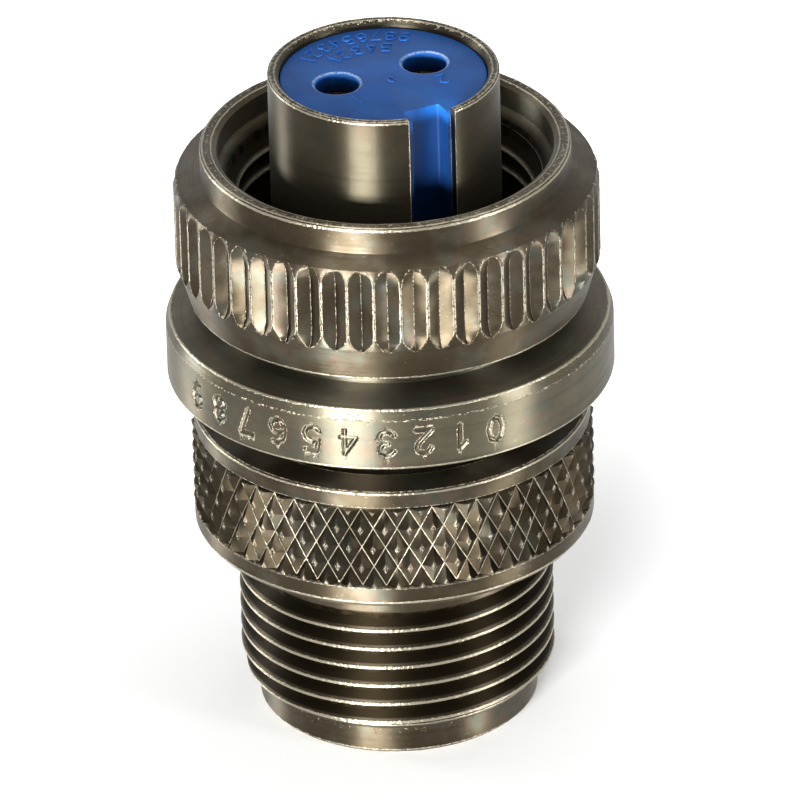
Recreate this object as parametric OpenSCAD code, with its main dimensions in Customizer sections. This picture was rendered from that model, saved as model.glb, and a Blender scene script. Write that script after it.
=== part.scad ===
// Straight plug for a small military-style circular power connector:
// coupling nut, plug barrel with two socket contacts, and a solid end bell.
// The origin is the centre of the end bell's rear face, +Z points to the mating end,
// and the keyway faces -Y. All sizes are in millimetres.

/* [Threads] */
// Major diameter of the coupling, neck and cable clamp threads (5/8-24)
thread_d = 15.875; // [15:0.005:17]
// Threads per inch
threads_per_inch = 24; // [20:1:32]

/* [Plug barrel] */
// Outside diameter of the barrel at the mating end
barrel_d = 11.5; // [10.8:0.1:12]
// Wall of the barrel round the insert
barrel_wall = 0.55; // [0.45:0.05:0.8]
// Height of the barrel above the coupling nut
barrel_reach = 4.03; // [3:0.01:6]
// Width of the keyway in the barrel
keyway_w = 2.48; // [2:0.01:3]
// Length of the keyway from the rim
keyway_l = 7.6; // [5:0.1:7.8]

/* [Flange] */
// Diameter of the marking flange
flange_d = 22.4; // [21.6:0.1:24]
// Thickness of the marking flange
flange_h = 3.29; // [2.5:0.01:4]
// Height of the step between the flange and the coupling nut
step_h = 1.03; // [0.6:0.01:1.5]

/* [Coupling nut] */
// Diameter of the nut over its flutes
nut_d = 21.2; // [20.4:0.1:22]
// Length of the nut
nut_l = 8; // [7.6:0.1:9]
// Height of the plain lip at the front of the nut
nut_lip_h = 1.4; // [1:0.05:1.8]
// Outside diameter of the plain lip
nut_lip_d = 18.46; // [17.8:0.02:19]
// Depth of the plain counterbore ahead of the thread
nut_counterbore_h = 1.3; // [0.8:0.1:1.8]
// Thickness of the web at the back of the nut
nut_web_h = 1.4; // [1.1:0.1:1.7]
// Number of flutes round the nut
flute_count = 50; // [40:1:56]
// Depth of a flute
flute_depth = 0.37; // [0.25:0.01:0.42]
// Plain land left between two flutes
flute_land = 0.2; // [0.15:0.01:0.4]

/* [End bell] */
// Diameter of the end bell over its knurl
bell_d = 20.2; // [19.4:0.1:21]
// Length of the diamond knurl
knurl_h = 4.32; // [3:0.01:5]
// Number of knurl grooves in each direction
knurl_count = 52; // [40:1:60]
// Depth of a knurl groove
knurl_depth = 0.36; // [0.25:0.01:0.4]
// Half diamonds in the length of the knurl
knurl_rows = 4; // [3:1:5]
// Height of the polished lip above the knurl
bell_lip_h = 0.96; // [0.7:0.02:1.3]
// Height of the plain rim below the knurl
bell_rim_h = 1.17; // [0.8:0.01:1.5]
// Length of the neck and cable clamp thread, below the rim
clamp_thread_l = 8.65; // [7.5:0.05:10]
// Diameter of the pilot at the rear end
pilot_d = 14.06; // [13.6:0.02:14.4]
// Height of the pilot
pilot_h = 1.5; // [1:0.1:2]
// Diameter of the cable bore
cable_bore_d = 11; // [10:0.1:12]
// Gap seen between the flange and the end bell
bell_gap = 1.98; // [1.2:0.01:2.5]
// Length of the barrel's neck thread inside the end bell
neck_engagement = 6.7; // [6:0.1:7.4]

/* [Inserts and contacts] */
// Diameter of the rear bore that holds the insert flanges
insert_bore_d = 12.8; // [12.4:0.1:13.2]
// Depth of the insert's face below the barrel's rim
insert_recess = 0.33; // [0.2:0.01:0.6]
// Distance between the two contacts
contact_pitch = 4.78; // [4.6:0.01:5]
// Offset of the contacts away from the keyway
contact_offset = 0.3; // [0:0.05:0.5]
// Diameter of the contact hole in the insert's face
face_hole_d = 2.17; // [1.9:0.01:2.4]
// Diameter of the pin that a contact accepts
pin_d = 1.5875; // [1.4:0.0005:1.7]
// Diameter of the contact's socket body
socket_d = 2.3; // [2.2:0.05:2.5]
// Diameter of the solder cup
cup_d = 2.6; // [2.5:0.05:2.9]
// Length of the solder cup behind the rear insert
cup_l = 3.2; // [2.6:0.1:3.3]
// Thickness of the insert washer
washer_h = 0.5; // [0.3:0.05:0.7]
// Thickness of the insert retaining ring
ring_h = 0.8; // [0.6:0.05:1]

/* [Hidden] */
$fn = 96;

eps = 0.01;                     // overlap of a thin cut past the face that it opens
over = 1;                       // overlap of a deep cut past the face that it opens
running = 0.05;                 // radial clearance of a turning or sliding fit
seat = 0.05;                    // clearance of a piece in its pocket
turn_gap = 0.1;                 // axial play between the nut and its stops
pitch = 25.4 / threads_per_inch;
thread_r = thread_d / 2;
thread_minor_r = thread_r - 0.54127 * pitch;

// End bell, from the rear face up.
pilot_r = pilot_d / 2;
pilot_edge = 0.2;
thread_lead_h = 1.1;
bell_r = bell_d / 2;
bell_rim_r = bell_r - 0.05;
rim_foot_r = bell_r - 0.32;
rim_foot_h = 0.55;
rim_z = pilot_h + clamp_thread_l;
knurl_z = rim_z + bell_rim_h;
knurl_top_z = knurl_z + knurl_h;
bell_groove_h = 0.1;
bell_groove_depth = 0.1;
bell_lip_r = bell_r - 0.15;
bell_lip_z = knurl_top_z + bell_groove_h;
bell_top_z = bell_lip_z + bell_lip_h;
bell_edge = 0.15;
cable_r = cable_bore_d / 2;
cable_edge = 0.3;
bell_thread_r = thread_r + running;
neck_z = bell_top_z - neck_engagement;

// Plug barrel.
barrel_r = barrel_d / 2;
barrel_bore_r = barrel_r - barrel_wall;
flange_r = flange_d / 2;
flange_z = bell_top_z + bell_gap;
flange_top_z = flange_z + flange_h;
flange_chamfer = 0.54;
flange_chamfer_in = 0.21;
flange_edge = 0.1;
step_r = thread_r + 0.3;
step_top_z = flange_top_z + step_h;
relief_r = thread_r - 0.75;
relief_z = bell_top_z - 0.5;
neck_edge = 0.4;

// Coupling nut.
nut_r = nut_d / 2;
nut_z = step_top_z + turn_gap;
nut_top_z = nut_z + nut_l;
nut_lip_r = nut_lip_d / 2;
nut_lip_z = nut_top_z - nut_lip_h;
nut_shoulder_h = 0.32;
nut_shoulder_r = nut_r - 0.15;
nut_round_h = 0.4;
nut_band_h = 1.8;
nut_band_r = nut_r - 0.08;
nut_foot_r = nut_r - 0.58;
nut_mouth_r = nut_lip_r - 0.55;
nut_mouth_h = 0.15;
nut_counterbore_r = nut_lip_r - 0.85;
nut_edge = 0.12;
web_top_z = nut_z + nut_web_h;
nut_groove_r = barrel_r + 0.25;
hub_r = nut_groove_r + 0.64;
web_bore_r = hub_r + running;
nut_lead_z = nut_top_z - nut_counterbore_h;
nut_lead_h = nut_counterbore_r - thread_minor_r;

// Flutes.
flute_pitch = 360 / flute_count;
flute_half_w = (2 * PI * nut_r / flute_count - flute_land) / 2;
flute_run = 0.8;
flute_z = nut_z + nut_band_h;
flute_top_z = nut_top_z - nut_lip_h - nut_shoulder_h;
flute_clear = 0.2;

// Ring that holds the nut on the barrel.
ring_z = web_top_z + turn_gap;
nut_ring_h = 0.8;
nut_ring_w = 1.12;
nut_ring_r = nut_groove_r + seat + nut_ring_w;
nut_ring_gap = 1.6;
nut_relief_r = nut_ring_r + 0.8;
nut_relief_h = turn_gap + nut_ring_h + 0.3;
nut_relief_slope_h = nut_relief_r - thread_minor_r;
land_r = barrel_r + 0.65;
land_h = 0.7;

// Rim and keyway of the barrel.
barrel_top_z = nut_top_z + barrel_reach;
rim_flat = 0.35;
rim_bevel_h = 0.2;
barrel_edge = 0.06;
keyway_z = barrel_top_z - keyway_l;

// Inserts.
insert_r = barrel_bore_r - seat;
insert_bore_r = insert_bore_d / 2;
insert_flange_r = insert_bore_r - seat;
insert_face_z = barrel_top_z - insert_recess;
insert_edge = 0.25;
shoulder_z = flange_top_z - 1.5;
insert_split_z = flange_z - 1.2;
channel_w = 1.93;
channel_shift = 0.135;
channel_depth = 1.15;
washer_setback = 2.9;
washer_z = neck_z + washer_setback;
rear_insert_z = washer_z + washer_h + seat;
insert_ring_z = washer_z - ring_h - seat;
insert_groove_depth = 0.5;
insert_groove_r = insert_bore_r + insert_groove_depth;
insert_ring_r = insert_groove_r - 0.15;
insert_ring_in_r = insert_bore_r - 0.9;
insert_ring_gap = 2.4;

// Contacts.
socket_r = socket_d / 2;
socket_bore_r = pin_d / 2 + 0.0125;
socket_depth = 7.5;
socket_lead = 0.15;
face_web_h = 1;
face_hole_chamfer = 0.14;
sleeve_wall = 0.15;
sleeve_r = socket_r + seat + sleeve_wall;
sleeve_l = 8;
cavity_r = sleeve_r + seat;
cavity_top_z = insert_face_z - face_web_h;
sleeve_top_z = cavity_top_z - 0.1;
socket_top_z = sleeve_top_z - 0.3;
collar_r = socket_r + 0.6;
collar_h = 1;
collar_z = insert_split_z + seat;
waist_r = socket_r - 0.1;
cup_r = cup_d / 2;
cup_bore_r = cup_r - 0.35;
cup_z = rear_insert_z - cup_l;
cup_base_h = 0.8;
cup_scoop_l = 1.9;
tine_slot_w = 0.3;
tine_l = 5;

// One flute: a V that runs out to a point at both ends.
module flute_cut() {
    out_r = nut_r + flute_clear;
    valley_r = nut_r - flute_depth;
    rise = (out_r - valley_r) / flute_depth;
    half_w = flute_half_w * rise;
    low_z = flute_z + flute_run;
    high_z = flute_top_z - flute_run / 2;
    polyhedron(
        points = [
            [valley_r, 0, low_z], [valley_r, 0, high_z],
            [out_r, 0, low_z - flute_run * rise], [out_r, half_w, low_z], [out_r, half_w, high_z],
            [out_r, 0, high_z + flute_run * rise], [out_r, -half_w, high_z], [out_r, -half_w, low_z]],
        faces = [
            [7, 6, 5, 4, 3, 2], [3, 4, 1, 0], [6, 7, 0, 1],
            [2, 3, 0], [7, 2, 0], [4, 5, 1], [5, 6, 1]]);
}

// Diamond knurl: rows of tips and groove crossings take turns, half a step apart from row to row.
module knurl_band(in_r) {
    columns = 2 * knurl_count;
    row_h = knurl_h / knurl_rows;
    function on_ring(r, j, z) = [r * cos(j * 360 / columns), r * sin(j * 360 / columns), z];
    function outer(row, j) = row * columns + j % columns;
    function inner(top, j) = (knurl_rows + 1 + top) * columns + j % columns;
    grooved = [for (row = [0 : knurl_rows], j = [0 : columns - 1])
        on_ring((row + j) % 2 == 0 ? bell_r - knurl_depth : bell_r, j, knurl_z + row * row_h)];
    bore = [for (top = [0, 1], j = [0 : columns - 1]) on_ring(in_r, j, knurl_z + top * knurl_h)];
    flanks = [for (row = [0 : knurl_rows - 1], j = [0 : columns - 1])
        let (a = outer(row, j), b = outer(row, j + 1), c = outer(row + 1, j + 1), d = outer(row + 1, j))
            each (row + j) % 2 == 0 ? [[a, c, b], [a, d, c]] : [[a, d, b], [b, d, c]]];
    ends = [for (j = [0 : columns - 1]) each [
        [outer(0, j), outer(0, j + 1), inner(0, j + 1), inner(0, j)],
        [inner(1, j), inner(1, j + 1), outer(knurl_rows, j + 1), outer(knurl_rows, j)],
        [inner(0, j), inner(0, j + 1), inner(1, j + 1), inner(1, j)]]];
    polyhedron(points = concat(grooved, bore), faces = concat(flanks, ends));
}

module end_bell() {
    core_r = bell_r - knurl_depth - 0.3;
    color("#5d594c") {
        rotate_extrude() polygon([
            [cable_r + cable_edge, 0], [pilot_r - pilot_edge, 0], [pilot_r, pilot_edge], [pilot_r, pilot_h],
            [thread_r, pilot_h + thread_lead_h], [thread_r, rim_z - rim_foot_h],
            [rim_foot_r, rim_z], [bell_rim_r, rim_z + 0.3], [bell_rim_r, knurl_z], [core_r, knurl_z],
            [core_r, knurl_top_z], [bell_lip_r - bell_groove_depth, knurl_top_z],
            [bell_lip_r - bell_groove_depth, bell_lip_z], [bell_lip_r, bell_lip_z],
            [bell_lip_r, bell_top_z - bell_edge], [bell_lip_r - bell_edge, bell_top_z],
            [bell_thread_r + bell_edge, bell_top_z], [bell_thread_r, bell_top_z - bell_edge],
            [bell_thread_r, neck_z], [cable_r, neck_z], [cable_r, cable_edge]]);
        knurl_band(core_r - 0.3);
    }
}

module plug_barrel() {
    color("#625e51") difference() {
        rotate_extrude() polygon([
            [insert_bore_r, neck_z], [thread_r - neck_edge, neck_z], [thread_r, neck_z + neck_edge],
            [thread_r, relief_z], [relief_r, relief_z + 0.3], [relief_r, flange_z],
            [flange_r - flange_edge, flange_z], [flange_r, flange_z + flange_edge],
            [flange_r, flange_top_z - flange_chamfer], [flange_r - flange_chamfer_in, flange_top_z],
            [step_r, flange_top_z], [step_r, step_top_z], [hub_r, step_top_z], [hub_r, ring_z],
            [nut_groove_r, ring_z], [nut_groove_r, ring_z + nut_ring_h + seat],
            [land_r, ring_z + nut_ring_h + seat], [land_r, ring_z + nut_ring_h + land_h],
            [barrel_r, ring_z + nut_ring_h + land_h + 0.3],
            [barrel_r, barrel_top_z - barrel_edge], [barrel_r - barrel_edge, barrel_top_z],
            [barrel_r - rim_flat, barrel_top_z], [barrel_bore_r, barrel_top_z - rim_bevel_h],
            [barrel_bore_r, shoulder_z], [insert_bore_r, shoulder_z]]);
        translate([0, 0, insert_ring_z - seat]) cylinder(h = ring_h + 2 * seat, r = insert_groove_r);
        translate([-keyway_w / 2, -barrel_r - over, keyway_z])
            cube([keyway_w, barrel_r + over - barrel_bore_r / 2, keyway_l + over]);
    }
}

module coupling_nut() {
    color("#5d594c") difference() {
        rotate_extrude() polygon([
            [web_bore_r, nut_z], [nut_foot_r - nut_edge, nut_z], [nut_foot_r, nut_z + nut_edge],
            [nut_band_r, flute_z], [nut_r, flute_z + 0.1],
            [nut_r, flute_top_z - nut_round_h], [nut_shoulder_r, flute_top_z],
            [nut_lip_r, nut_lip_z], [nut_lip_r, nut_top_z - nut_edge], [nut_lip_r - nut_edge, nut_top_z],
            [nut_mouth_r, nut_top_z], [nut_counterbore_r, nut_top_z - nut_mouth_h],
            [nut_counterbore_r, nut_lead_z], [thread_minor_r, nut_lead_z - nut_lead_h],
            [thread_minor_r, web_top_z + nut_relief_h + nut_relief_slope_h],
            [nut_relief_r, web_top_z + nut_relief_h], [nut_relief_r, web_top_z], [web_bore_r, web_top_z]]);
        for (i = [0 : flute_count - 1])
            rotate([0, 0, (i + 0.5) * flute_pitch]) flute_cut();
    }
}

// Split ring with a gap on the -Y side.
module split_ring(in_r, out_r, height, gap) {
    difference() {
        cylinder(h = height, r = out_r);
        translate([0, 0, -eps]) cylinder(h = height + 2 * eps, r = in_r);
        translate([-gap / 2, -out_r - over, -eps]) cube([gap, out_r + over, height + 2 * eps]);
    }
}

module nut_retaining_ring() {
    color("#8d8d88") translate([0, 0, ring_z])
        split_ring(nut_groove_r + seat, nut_ring_r, nut_ring_h, nut_ring_gap);
}

// Places one child at each contact.
module at_contact(side) {
    translate([side * contact_pitch / 2, contact_offset, 0]) children();
}

module front_insert() {
    color("#2f66ad") difference() {
        rotate_extrude() polygon([
            [0, insert_split_z], [insert_flange_r, insert_split_z], [insert_flange_r, shoulder_z - seat],
            [insert_r, shoulder_z - seat], [insert_r, insert_face_z - insert_edge / 2],
            [insert_r - insert_edge / 2, insert_face_z], [0, insert_face_z]]);
        for (side = [-1, 1]) at_contact(side) {
            translate([0, 0, insert_face_z - face_web_h - eps])
                cylinder(h = face_web_h + over, d = face_hole_d);
            translate([0, 0, insert_face_z - face_hole_chamfer])
                cylinder(h = face_hole_chamfer + eps, d1 = face_hole_d,
                         d2 = face_hole_d + 2 * (face_hole_chamfer + eps));
            translate([0, 0, insert_split_z - over])
                cylinder(h = cavity_top_z - insert_split_z + over, r = cavity_r);
            translate([0, 0, insert_split_z - over])
                cylinder(h = over + collar_h + 2 * seat, r = collar_r + seat);
        }
        translate([channel_shift - channel_w / 2, -insert_r - over, keyway_z])
            cube([channel_w, channel_depth + over, keyway_l + over]);
    }
}

module rear_insert() {
    color("#2f66ad") difference() {
        translate([0, 0, rear_insert_z]) cylinder(h = insert_split_z - rear_insert_z, r = insert_flange_r);
        for (side = [-1, 1]) at_contact(side)
            translate([0, 0, rear_insert_z - over])
                cylinder(h = insert_split_z - rear_insert_z + 2 * over, r = waist_r + seat);
    }
}

// Machined contact: solder cup, collar between the inserts, and slotted socket.
module socket_contact(side) {
    color("#c9a24b") at_contact(side) difference() {
        rotate_extrude() polygon([
            [0, cup_z], [cup_r - 0.1, cup_z], [cup_r, cup_z + 0.1], [cup_r, rear_insert_z - seat],
            [waist_r, rear_insert_z - seat], [waist_r, collar_z], [collar_r, collar_z],
            [collar_r, collar_z + collar_h], [socket_r, collar_z + collar_h],
            [socket_r, socket_top_z - socket_lead], [socket_r - socket_lead, socket_top_z],
            [0, socket_top_z]]);
        translate([0, 0, socket_top_z - socket_depth])
            cylinder(h = socket_depth + over, r = socket_bore_r);
        translate([0, 0, cup_z - over]) cylinder(h = cup_l + over - cup_base_h, r = cup_bore_r);
        translate([-cup_r - over, cup_bore_r / 2, cup_z - over])
            cube([2 * (cup_r + over), cup_r, cup_scoop_l + over]);
        translate([-tine_slot_w / 2, -socket_r - over, socket_top_z - tine_l])
            cube([tine_slot_w, 2 * (socket_r + over), tine_l + over]);
    }
}

module contact_sleeve(side) {
    color("#a9a9a4") at_contact(side)
        translate([0, 0, sleeve_top_z - sleeve_l]) difference() {
            cylinder(h = sleeve_l, r = sleeve_r);
            translate([0, 0, -eps]) cylinder(h = sleeve_l + 2 * eps, r = sleeve_r - sleeve_wall);
        }
}

module insert_washer() {
    color("#9a9a95") translate([0, 0, washer_z]) difference() {
        cylinder(h = washer_h, r = insert_flange_r);
        translate([0, 0, -eps]) cylinder(h = washer_h + 2 * eps, r = insert_ring_in_r - 0.6);
    }
}

module insert_retaining_ring() {
    color("#8d8d88") translate([0, 0, insert_ring_z])
        split_ring(insert_ring_in_r, insert_ring_r, ring_h, insert_ring_gap);
}

end_bell();
plug_barrel();
coupling_nut();
nut_retaining_ring();
front_insert();
rear_insert();
socket_contact(-1);  // socket_contact_a
socket_contact(1);  // socket_contact_b
contact_sleeve(-1);  // contact_sleeve_a
contact_sleeve(1);  // contact_sleeve_b
insert_washer();
insert_retaining_ring();
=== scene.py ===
"""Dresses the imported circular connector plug: plated shells, blue insulator, contacts, studio light and camera."""

import logging
import math
from dataclasses import dataclass, field
from enum import Enum

import bmesh
import bpy
from mathutils import Matrix, Vector


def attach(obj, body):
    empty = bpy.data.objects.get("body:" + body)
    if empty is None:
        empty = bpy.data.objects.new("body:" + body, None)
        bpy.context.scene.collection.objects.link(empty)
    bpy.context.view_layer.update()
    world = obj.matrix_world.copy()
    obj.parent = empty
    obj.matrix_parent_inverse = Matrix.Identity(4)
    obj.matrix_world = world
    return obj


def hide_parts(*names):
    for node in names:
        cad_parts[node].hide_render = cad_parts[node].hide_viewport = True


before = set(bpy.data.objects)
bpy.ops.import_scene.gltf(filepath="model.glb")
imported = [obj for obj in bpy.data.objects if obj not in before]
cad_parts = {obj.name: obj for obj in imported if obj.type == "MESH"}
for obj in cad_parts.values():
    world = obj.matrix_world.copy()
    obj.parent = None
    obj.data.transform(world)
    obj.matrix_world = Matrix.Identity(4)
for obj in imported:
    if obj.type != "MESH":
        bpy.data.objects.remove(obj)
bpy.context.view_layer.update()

LOG = logging.getLogger("plug")
MM = 0.001
MERGE = 2e-6  # Points closer than this, in metres, are one point.
WEAR_AND_SHADE = "wear"
SHARP_DEG = 32.0
CUT_SHARP_DEG = 30.0
PITCH = 1.0583  # Of the 5/8-24 threads, in millimetres.
ROOT_SHADE = -5.0  # Wear value of thread roots and recesses: painted shade, mixed towards the darker brown.
WHITE = (1, 1, 1, 1)

Thing = bpy.types.Object
Mesh = bpy.types.Mesh
Point = tuple[float, float, float]
Row = list[tuple[float, float, float, float]]


# ---- Meshes ----


def linear(hex_colour: str) -> tuple[float, float, float, float]:
    """Turn an sRGB hex colour such as "#3c69aa" into opaque linear light.

    Args:
        hex_colour: The colour, with its leading #.

    Returns:
        Red, green, blue and opacity.
    """
    parts = [int(hex_colour[i : i + 2], 16) / 255 for i in (1, 3, 5)]
    light = [p / 12.92 if p <= 0.04045 else ((p + 0.055) / 1.055) ** 2.4 for p in parts]
    return light[0], light[1], light[2], 1.0


def new_object(name: str, data: bpy.types.ID) -> Thing:
    """Link a mesh, curve, lamp or camera into the scene as an object at the origin.

    Args:
        name: Name of the object.
        data: What it shows.

    Returns:
        The new object.
    """
    thing = bpy.data.objects.new(name, data)
    bpy.context.scene.collection.objects.link(thing)
    return thing


def mesh_from(name: str, points: list[Point], faces: list, wear: list[float]) -> Mesh:
    """Make a mesh with a wear value on each point.

    Args:
        name: Name of the mesh.
        points: Corners in metres.
        faces: Lists of corner numbers.
        wear: One value for each corner: 1 is rubbed bright, and below 0 is painted darker as shade.

    Returns:
        The new mesh.
    """
    mesh = bpy.data.meshes.new(name)
    mesh.from_pydata(points, [], faces)
    mesh.attributes.new(WEAR_AND_SHADE, "FLOAT", "POINT").data.foreach_set("value", wear)
    mesh.update()
    return mesh


def tidy_mesh(mesh: Mesh, sharp_deg: float) -> None:
    """Merge doubles, point the faces outwards and mark the sharp edges.

    Args:
        mesh: Mesh to change.
        sharp_deg: Angle past which an edge stays sharp.
    """
    work = bmesh.new()
    work.from_mesh(mesh)
    bmesh.ops.remove_doubles(work, verts=work.verts, dist=MERGE)
    bmesh.ops.dissolve_degenerate(work, edges=work.edges, dist=MERGE / 4)
    bmesh.ops.recalc_face_normals(work, faces=work.faces)
    if work.calc_volume(signed=True) < 0:
        bmesh.ops.reverse_faces(work, faces=work.faces)
    for face in work.faces:
        face.smooth = True
    work.to_mesh(mesh)
    work.free()
    mesh.set_sharp_from_angle(angle=math.radians(sharp_deg))


def open_edges(mesh: Mesh) -> int:
    """Count the edges of a mesh that don't lie between exactly two faces.

    Args:
        mesh: Mesh to look at.

    Returns:
        Their number.
    """
    work = bmesh.new()
    work.from_mesh(mesh)
    count = sum(1 for edge in work.edges if len(edge.link_faces) != 2)
    work.free()
    return count


def plain_mesh(thing: Thing) -> Mesh:
    """Make a plain mesh of what an object is with its modifiers."""
    graph = bpy.context.evaluated_depsgraph_get()
    return bpy.data.meshes.new_from_object(thing.evaluated_get(graph), depsgraph=graph)


def settle(thing: Thing, modifier: bpy.types.Modifier) -> Thing:
    """Keep an object's evaluated mesh in place of its modifier.

    Args:
        thing: Object that carries the modifier.
        modifier: The modifier to remove.

    Returns:
        The same object.
    """
    mesh = plain_mesh(thing)
    thing.modifiers.remove(modifier)
    thing.data = mesh
    return thing


def run_tree(base: Thing, tree: bpy.types.NodeTree, values: dict) -> Thing:
    """Run a geometry tree on an object and keep the result as a plain mesh.

    Args:
        base: Object that carries the tree's first geometry.
        tree: Geometry tree with named inputs.
        values: Input name to value.

    Returns:
        The same object with the result as its mesh and no modifier.
    """
    modifier = base.modifiers.new(tree.name, "NODES")
    modifier.node_group = tree
    for item in tree.interface.items_tree:
        if item.item_type == "SOCKET" and item.in_out == "INPUT" and item.name in values:
            modifier[item.identifier] = values[item.name]
    return settle(base, modifier)


@dataclass
class Profile:
    """A closed outline in the plane of radius and height, in millimetres, with wear on its edges."""

    points: list[Point] = field(default_factory=list)

    def to(self, r: float, z: float, wear: float = 0.0) -> "Profile":
        """Add one plain point."""
        self.points.append((r, z, wear))
        return self

    def rise(self, r: float, *heights: float, wear: float = 0.0) -> "Profile":
        """Add plain points at one radius."""
        self.points += [(r, z, wear) for z in heights]
        return self

    def edge(self, r: float, z: float, before: tuple[float, float], after: tuple[float, float],
             round_mm: float = 0.05, reach: float = 0.1, wear: float = 1.0) -> "Profile":
        """Add a worn, rounded corner.

        Args:
            r: Radius of the sharp corner.
            z: Height of the sharp corner.
            before: A point (r, z) on the side that leads to the corner.
            after: A point (r, z) on the side that leaves it.
            round_mm: How far from the corner its rounding starts.
            reach: How much further the wear fades out.
            wear: Wear on the rounding.

        Returns:
            The same outline.
        """
        corner = Vector((r, z))
        into, out = Vector(before) - corner, Vector(after) - corner
        for side, length in ((into, into.length), (out, out.length)):
            side.normalize()
            side *= min(1.0, length / (2.2 * (round_mm + reach)))
        start, end = corner + into * round_mm, corner + out * round_mm
        middle = corner.lerp((start + end) / 2, 0.5)
        self.to(*(corner + into * (round_mm + reach)))
        for place in (start, middle, end):
            self.to(*place, wear)
        return self.to(*(corner + out * (round_mm + reach)))


def turned(name: str, profile: Profile, columns: int) -> Mesh:
    """Turn a closed outline round the axis to a closed mesh.

    Args:
        name: Name of the mesh.
        profile: The outline.
        columns: Number of steps round the axis.

    Returns:
        The new mesh.
    """
    rows = len(profile.points)
    points, faces = [], []
    for c in range(columns):
        turn = math.tau * c / columns
        points += [(r * MM * math.cos(turn), r * MM * math.sin(turn), z * MM) for r, z, _ in profile.points]
        here, there = c * rows, (c + 1) % columns * rows
        faces += [(here + k, there + k, there + (k + 1) % rows, here + (k + 1) % rows) for k in range(rows)]
    return mesh_from(name, points, faces, [w for *_, w in profile.points] * columns)


def plain_row(half: float, r: float, z: float, wear: float) -> Row:
    """A level row of five points across a sector: distance round the rim, radius, height and wear."""
    return [(share * half, r, z, wear) for share in (-1.0, -0.5, 0.0, 0.5, 1.0)]


def stitch(low: Row, high: Row, low_at: int, high_at: int) -> list[tuple[int, ...]]:
    """Join two rows of points with quads, or with triangles where their counts differ.

    Args:
        low: First row.
        high: Second row.
        low_at: Number of the first row's first point.
        high_at: Number of the second row's first point.

    Returns:
        Faces as tuples of point numbers.
    """
    if len(low) == len(high):
        return [(low_at + i, low_at + i + 1, high_at + i + 1, high_at + i) for i in range(len(low) - 1)]
    faces, i, j = [], 0, 0
    while i < len(low) - 1 or j < len(high) - 1:
        if j == len(high) - 1 or (i < len(low) - 1 and low[i + 1][0] + low[i][0] <= high[j + 1][0] + high[j][0]):
            faces.append((low_at + i, low_at + i + 1, high_at + j))
            i += 1
        else:
            faces.append((low_at + i, high_at + j + 1, high_at + j))
            j += 1
    return faces


def sector_mesh(name: str, strips: list[list[Row]]) -> Mesh:
    """Lay out one sector of a ring flat: X runs round the rim, Y is the radius and Z the height.

    Args:
        name: Name of the mesh.
        strips: Lists of rows; neighbours in a list are joined, and a row of one point is the tip of a fan.

    Returns:
        The sector's mesh, in metres.
    """
    points, wear, faces = [], [], []
    for rows in strips:
        starts = []
        for row in rows:
            starts.append(len(points))
            points += [(u * MM, r * MM, z * MM) for u, r, z, _ in row]
            wear += [w for *_, w in row]
        for k, (row, after) in enumerate(zip(rows, rows[1:])):
            if len(row) == 1:
                faces += [(starts[k], starts[k + 1] + i + 1, starts[k + 1] + i) for i in range(len(after) - 1)]
            else:
                faces += stitch(row, after, starts[k], starts[k + 1])
    return mesh_from(name, points, faces, wear)


# ---- Node trees ----


class Value:
    """A node's output that can stand in a sum, so that a tree reads as its formula."""

    def __init__(self, graph: "Graph", socket: bpy.types.NodeSocket) -> None:
        """Hold the graph and the output."""
        self.graph, self.socket = graph, socket

    def __add__(self, other: "Value | float") -> "Value":
        """Add."""
        return self.graph.math("ADD", self, other)

    def __sub__(self, other: "Value | float") -> "Value":
        """Subtract."""
        return self.graph.math("SUBTRACT", self, other)

    def __mul__(self, other: "Value | float") -> "Value":
        """Multiply."""
        return self.graph.math("MULTIPLY", self, other)

    def __truediv__(self, other: "Value | float") -> "Value":
        """Divide."""
        return self.graph.math("DIVIDE", self, other)


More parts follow.
